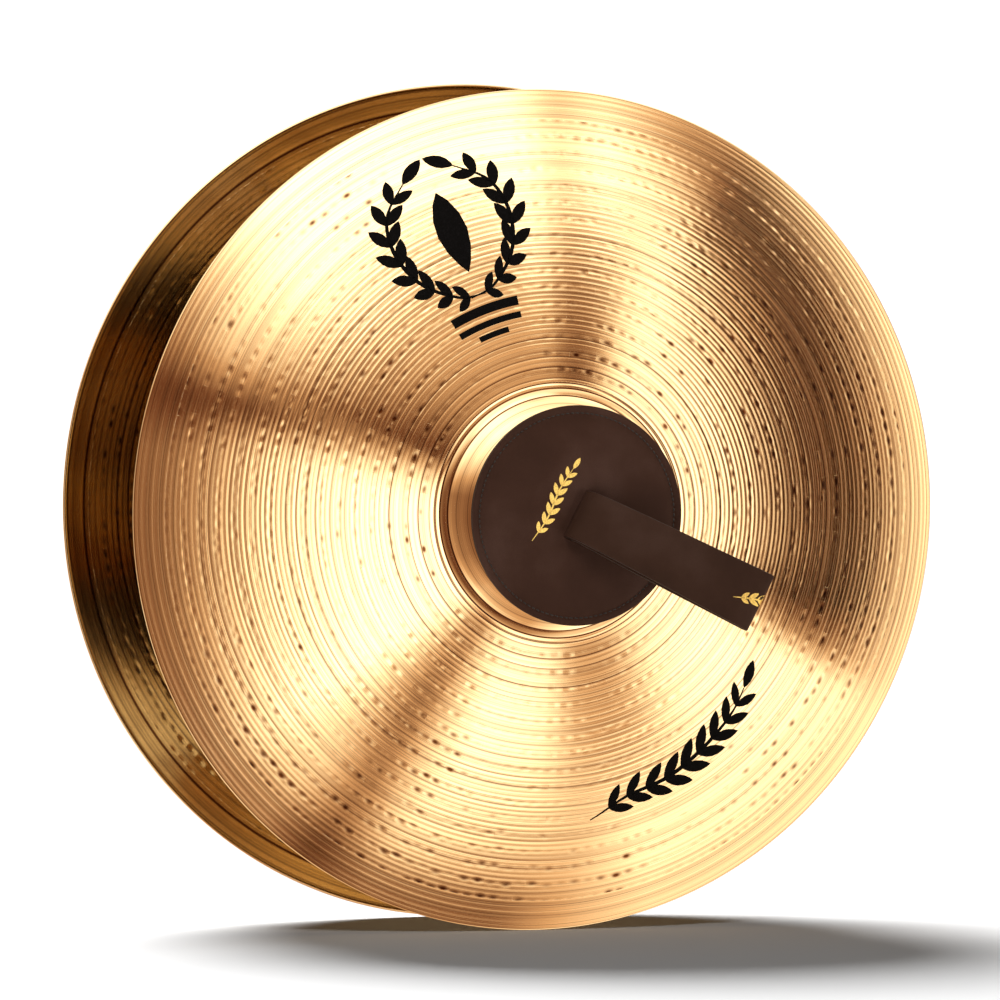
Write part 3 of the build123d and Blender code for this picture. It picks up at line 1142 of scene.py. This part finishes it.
def round_the_plate(clock, radius, flip, plate):
    """Lays flat shapes along a circle on the plate; flip turns their tops to the centre."""
    turn = -1 if flip else 1

    def surface(p, q, lift):
        angle = clock + turn * p / radius
        reach = radius + turn * q
        x, y = reach * sin(angle), reach * cos(angle)
        return (x, y, float(plate_height(reach, plate)) + lift)

    return surface


def bar(middle, length, height):
    """Ribs of a plain bar."""
    steps = np.linspace(-length / 2, length / 2, 13)
    return [((middle[0] + x, middle[1] + height / 2), (middle[0] + x, middle[1] - height / 2)) for x in steps]


def wreath():
    """An open wreath of two sprigs, with a tall leaf between them, over three plain bars."""
    shapes = []
    for side in (1, -1):
        line = (
            (-0.006, -0.039), (0.014, -0.036), (0.033, -0.020),
            (0.038, 0.002), (0.031, 0.024), (0.014, 0.038),
        )
        points = [(side * x, y) for x, y in line]
        shapes.extend(sprig(points, 0.0165, 0.0070, 0.0026, 8))
    shapes.append(leaf((0.0, -0.024), pi / 2, 0.050, 0.0190))
    shapes.append(bar((0.0, -0.0480), 0.060, 0.0056))
    shapes.append(bar((0.0, -0.0565), 0.060, 0.0038))
    shapes.append(bar((0.0, -0.0635), 0.030, 0.0034))
    return shapes


def long_sprig():
    """A long sprig with a curled foot."""
    points = [
        (-0.064, -0.013), (-0.040, -0.004), (-0.012, -0.003),
        (0.016, 0.001), (0.044, 0.006), (0.060, 0.011),
    ]
    return sprig(points, 0.0190, 0.0068, 0.0026, 9)


def on_the_strap(strap):
    """Lays flat shapes on the strap's outer face, along it from the tip of its fold."""
    line = strap_path(strap, 600)
    steps = np.concatenate([[0.0], np.cumsum(np.hypot(*np.diff(line, axis=0).T))])
    tip = steps[np.argmax(line[:, 0] * cos(strap.lift) + line[:, 1] * sin(strap.lift))]
    nearby = 0.0003

    def middle(at):
        return np.array([np.interp(at, steps, line[:, k]) for k in (0, 1)])

    def surface(p, q, lift):
        a, z = middle(tip + p)
        ahead = middle(tip + p + nearby) - middle(tip + p - nearby)
        size = hypot(*ahead)
        out = strap.thickness / 2 + lift
        return (a - ahead[1] / size * out, q, z + ahead[0] / size * out)

    return surface


class CYMBALS_OT_marks(Operator):
    """Lays plain leaf ornament on the plates, pads and straps"""

    bl_idname = "cymbals.marks"
    bl_label = "Plain ornament"

    def execute(self, context):
        scene = context.scene
        plate, pad, strap = scene.cymbal_plate, scene.cymbal_pad, scene.cymbal_strap
        ink = finish_named("printed_ink", printed_ink, plate)
        foil = finish_named("gold_foil", gold_foil, pad)
        ink_layer, foil_layer = (0.00002, 0.00006), (0.00001, 0.00007)  # lift and thickness
        pad_line = [(-0.0200, -0.0270), (-0.0178, -0.010), (-0.0190, 0.008), (-0.0172, 0.0230)]
        strap_line = [(-0.017, -0.004), (-0.009, -0.001), (0.0, 0.002), (0.005, 0.004)]
        upper = round_the_plate(radians(-19.5), 0.178, False, plate)
        lower = round_the_plate(radians(150.5), 0.176, True, plate)

        def on_the_pad(x, y, lift):
            return (x, y, float(cover_height(x, y, pad)) + lift)

        def lay(name, shapes, surface, matrix, material, body, layer):
            points, faces = join_parts([ribbed_solid(ribs, *layer, surface) for ribs in shapes])
            piece = add_mesh(name, points, faces, matrix, material, smooth=False)
            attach(piece, body)

        for side in SIDES:
            seat, body = seat_matrix(side), f"{side}_plate"
            lay(f"{side}_plate_wreath", wreath(), upper, seat, ink, body, ink_layer)
            lay(f"{side}_plate_sprig", long_sprig(), lower, seat, ink, body, ink_layer)
            shapes, body = sprig(pad_line, 0.0080, 0.0030, 0.0011, 7), f"{side}_harness"
            lay(f"{side}_pad_sprig", shapes, on_the_pad, pad_matrix(side), foil, body, foil_layer)
            shapes, body = sprig(strap_line, 0.0066, 0.0026, 0.0010, 4), f"{side}_loop"
            surface = on_the_strap(strap)
            lay(f"{side}_strap_sprig", shapes, surface, strap_matrix(side), foil, body, foil_layer)
        return {"FINISHED"}


# ---------------------------------------------------------------------------- the stage

# Soft boxes and dark flags that the metal mirrors, in rings round the direction that a flat plate mirrors.
# Each ring has its angle from there, as a share of a right angle, and (clock degrees, level) round it.
LIGHT_RINGS = (
    (0.20, (
        (0, 0.35), (7, 0.14), (17, 0.18), (26, 0.6), (36, 0.8), (60, 0.9), (95, 0.9), (125, 0.8),
        (140, 0.65), (155, 0.42), (170, 0.36), (178, 0.65), (195, 0.8), (205, 0.65), (213, 0.38),
        (220, 0.42), (230, 0.85), (245, 1.0), (275, 1.0), (286, 0.6), (296, 0.10), (304, 0.16), (318, 0.28),
        (335, 0.36), (360, 0.35),
    )),
    (0.27, (
        (0, 0.85), (9, 0.36), (20, 0.6), (32, 0.92), (45, 0.45), (60, 0.22), (74, 0.14), (87, 0.2),
        (98, 0.32), (107, 0.12), (116, 0.7), (123, 0.9), (138, 0.8), (150, 0.36), (158, 0.26), (170, 0.40),
        (180, 0.85), (196, 0.95), (206, 0.5), (215, 0.12), (224, 0.45), (233, 1.0), (280, 0.9), (288, 0.4),
        (295, 0.10), (305, 0.28), (320, 0.48), (342, 0.45), (351, 0.45), (360, 0.85),
    )),
    (0.335, (
        (0, 1.0), (8, 0.65), (17, 1.0), (30, 0.6), (38, 0.08), (50, 0.02), (85, 0.0), (106, 0.0),
        (112, 0.2), (117, 0.8), (130, 0.8), (150, 0.6), (165, 0.5), (177, 0.65), (197, 0.8), (205, 0.5),
        (212, 0.20), (221, 0.5), (232, 0.95), (250, 0.72), (270, 0.58), (283, 0.5), (290, 0.08),
        (300, 0.48), (315, 0.95), (360, 1.0),
    )),
    (0.395, (
        (0, 1.0), (9, 0.5), (16, 0.7), (30, 0.2), (42, 0.03), (60, 0.12), (75, 0.16), (90, 0.08),
        (104, 0.02), (111, 0.2), (116, 0.75), (155, 0.75), (168, 0.43), (185, 0.5), (200, 0.62),
        (210, 0.25), (220, 0.6), (232, 0.7), (245, 0.45), (260, 0.27), (280, 0.24), (289, 0.07), (298, 0.5),
        (310, 0.75), (325, 1.0), (360, 0.9),
    )),
    (0.46, (
        (0, 0.72), (8, 0.3), (20, 0.2), (32, 0.45), (48, 0.85), (75, 0.75), (100, 0.6), (112, 0.6),
        (155, 0.5), (168, 0.36), (178, 0.08), (200, 0.11), (211, 0.04), (219, 0.17), (235, 0.13),
        (280, 0.15), (292, 0.08), (301, 0.12), (311, 0.4), (321, 0.9), (340, 1.0), (360, 0.72),
    )),
    (0.58, (
        (0, 0.75), (30, 0.5), (60, 0.6), (100, 0.7), (135, 0.4), (165, 0.5), (190, 0.25), (225, 0.10),
        (265, 0.10), (288, 0.16), (305, 0.5), (325, 0.85), (360, 0.75),
    )),
    (0.80, (
        (0, 0.5), (30, 0.9), (70, 0.3), (105, 0.7), (150, 0.9), (185, 0.35), (220, 0.6), (245, 0.3),
        (282, 0.2), (310, 0.8), (335, 0.9), (360, 0.5),
    )),
)
ROOM_TINT = (
    (0.0, (0.006, 0.002, 0.0010)), (0.12, (0.075, 0.027, 0.013)), (0.35, (0.32, 0.19, 0.11)),
    (0.65, (0.68, 0.58, 0.46)), (1.0, (1.0, 0.97, 0.88)),
)


def room_light(stage):
    """A dim room; polished metal alone mirrors soft boxes and dark flags set round the clock."""
    world = bpy.data.worlds.new("studio")
    bpy.context.scene.world = world
    world.use_nodes = True
    world.cycles.sampling_method = "NONE"
    room = Nodes(world.node_tree)
    maths, span = room.maths, room.span
    path = room.node("ShaderNodeLightPath").outputs
    # what one plate mirrors of the other stays dark, and little of it comes back to the floor
    strength = maths(
        "MULTIPLY",
        span(path["Glossy Depth"], stage.mirrored, 0.4 * stage.mirrored, 1.0, 2.0),
        span(path["Diffuse Depth"], 1.0, 0.3),
    )

    # the clock angle round the direction that a flat plate mirrors, and the angle away from it
    x, y, z = room.parts(room.node("ShaderNodeTexCoord").outputs["Generated"])
    ahead = abs(stage.azimuth)
    depth = maths("ABSOLUTE", y)
    side = maths("MULTIPLY", x, maths("MULTIPLY", maths("SIGN", y), -1.0))
    across = maths("SUBTRACT", maths("MULTIPLY", side, cos(ahead)), maths("MULTIPLY", depth, sin(ahead)))
    facing = maths("ADD", maths("MULTIPLY", side, sin(ahead)), maths("MULTIPLY", depth, cos(ahead)))
    clock = maths("ARCTAN2", across, maths("ADD", z, sin(stage.elevation)))
    turn = maths("FRACT", maths("ADD", maths("DIVIDE", clock, 2 * pi), 1.0))
    away = maths("DIVIDE", maths("ARCCOSINE", facing), pi / 2)
    level, inner = None, 0.0
    for ring, lights in LIGHT_RINGS:
        around = room.grey_ramp(turn, [(degree / 360, bright) for degree, bright in lights])
        if level is None:
            level = around
        else:
            blend = room.node("ShaderNodeMix", data_type="FLOAT")
            for entry, value in ((0, span(away, 0.0, 1.0, inner, ring)), (2, level), (3, around)):
                room.feed(blend, entry, value)
            level = blend.outputs[0]
        inner = ring

    plain = room.node("ShaderNodeBackground", Strength=stage.ambient)
    boxes = room.feed(room.node("ShaderNodeBackground"), "Color", room.ramp(level, ROOM_TINT))
    room.feed(boxes, "Strength", strength)
    choose = room.feed(room.node("ShaderNodeMixShader"), 0, path["Is Glossy Ray"])
    room.feed(choose, 1, plain.outputs[0])
    room.feed(choose, 2, boxes.outputs[0])
    room.feed(room.node("ShaderNodeOutputWorld"), "Surface", choose.outputs[0])


class CYMBALS_OT_stage(Operator):
    """Makes the floor, the light and the camera"""

    bl_idname = "cymbals.stage"
    bl_label = "Stage"

    def execute(self, context):
        stage = context.scene.cymbal_stage
        floor_mesh = bpy.data.meshes.new("floor")
        reach = 160.0
        level = FRAME_BOX[0][2]
        corners = [(x * reach, y * reach, level) for x, y in ((-1, -1), (1, -1), (1, 1), (-1, 1))]
        floor_mesh.from_pydata(corners, [], [(0, 1, 2, 3)])
        floor_mesh.materials.append(floor_paper(stage))
        floor = bpy.data.objects.new("floor", floor_mesh)
        context.scene.collection.objects.link(floor)
        floor.visible_glossy = False

        room_light(stage)
        sky = bpy.data.lights.new("light_overhead", "SUN")
        sky.energy, sky.angle = stage.overhead, radians(34)
        key = bpy.data.lights.new("light_key", "AREA")
        key.shape, key.size, key.energy = "DISK", 0.9, stage.key
        for lamp, place in ((sky, (0.0, 2.1, 1.7)), (key, (-0.7, -2.0, 1.6))):
            holder = bpy.data.objects.new(lamp.name, lamp)
            holder.location = place
            holder.rotation_euler = (-Vector(place)).to_track_quat("-Z", "Y").to_euler()
            holder.visible_glossy = False
            context.scene.collection.objects.link(holder)

        lens = bpy.data.cameras.new("camera")
        lens.sensor_width = 36.0
        lens.lens = lens.sensor_width * stage.distance / stage.field
        lens.clip_end = 400.0
        camera = bpy.data.objects.new("camera", lens)
        azimuth, elevation = stage.azimuth, stage.elevation
        back = Vector((sin(azimuth) * cos(elevation), -cos(azimuth) * cos(elevation), sin(elevation)))
        across = Vector((cos(azimuth), sin(azimuth), 0.0))
        aim = across * 0.0019 + Vector((0.0, 0.0, 0.0031))
        camera.location = aim + back * stage.distance
        camera.rotation_euler = (-back).to_track_quat("-Z", "Y").to_euler()
        context.scene.collection.objects.link(camera)
        context.scene.camera = camera
        context.scene.view_settings.view_transform = "Standard"
        return {"FINISHED"}


class CYMBALS_PT_panel(Panel):
    """Lists the sizes and the pieces"""

    bl_idname = "CYMBALS_PT_panel"
    bl_label = "Hand Cymbals"
    bl_space_type = "VIEW_3D"
    bl_region_type = "UI"
    bl_category = "Hand Cymbals"

    def draw(self, context):
        for title, group in (
            ("Plates", context.scene.cymbal_plate),
            ("Pads", context.scene.cymbal_pad),
            ("Straps", context.scene.cymbal_strap),
            ("Stage", context.scene.cymbal_stage),
        ):
            box = self.layout.box()
            box.label(text=title)
            for key in group.bl_rna.properties.keys():
                if key not in ("rna_type", "name"):
                    box.prop(group, key)
        for operator in OPERATORS:
            self.layout.operator(operator.bl_idname)


OPERATORS = (CYMBALS_OT_stage, CYMBALS_OT_plates, CYMBALS_OT_pads, CYMBALS_OT_straps, CYMBALS_OT_marks)
GROUPS = {
    "cymbal_plate": PlateSettings,
    "cymbal_pad": PadSettings,
    "cymbal_strap": StrapSettings,
    "cymbal_stage": StageSettings,
}


def register():
    for group in GROUPS.values():
        bpy.utils.register_class(group)
    for name, group in GROUPS.items():
        setattr(bpy.types.Scene, name, PointerProperty(type=group))
    for operator in OPERATORS:
        bpy.utils.register_class(operator)
    bpy.utils.register_class(CYMBALS_PT_panel)


def unregister():
    bpy.utils.unregister_class(CYMBALS_PT_panel)
    for operator in reversed(OPERATORS):
        bpy.utils.unregister_class(operator)
    for name in GROUPS:
        delattr(bpy.types.Scene, name)
    for group in reversed(GROUPS.values()):
        bpy.utils.unregister_class(group)


def main():
    register()
    bpy.ops.cymbals.stage()
    bpy.ops.cymbals.plates()
    bpy.ops.cymbals.pads()
    bpy.ops.cymbals.straps()
    bpy.ops.cymbals.marks()


if __name__ == "__main__":
    main()
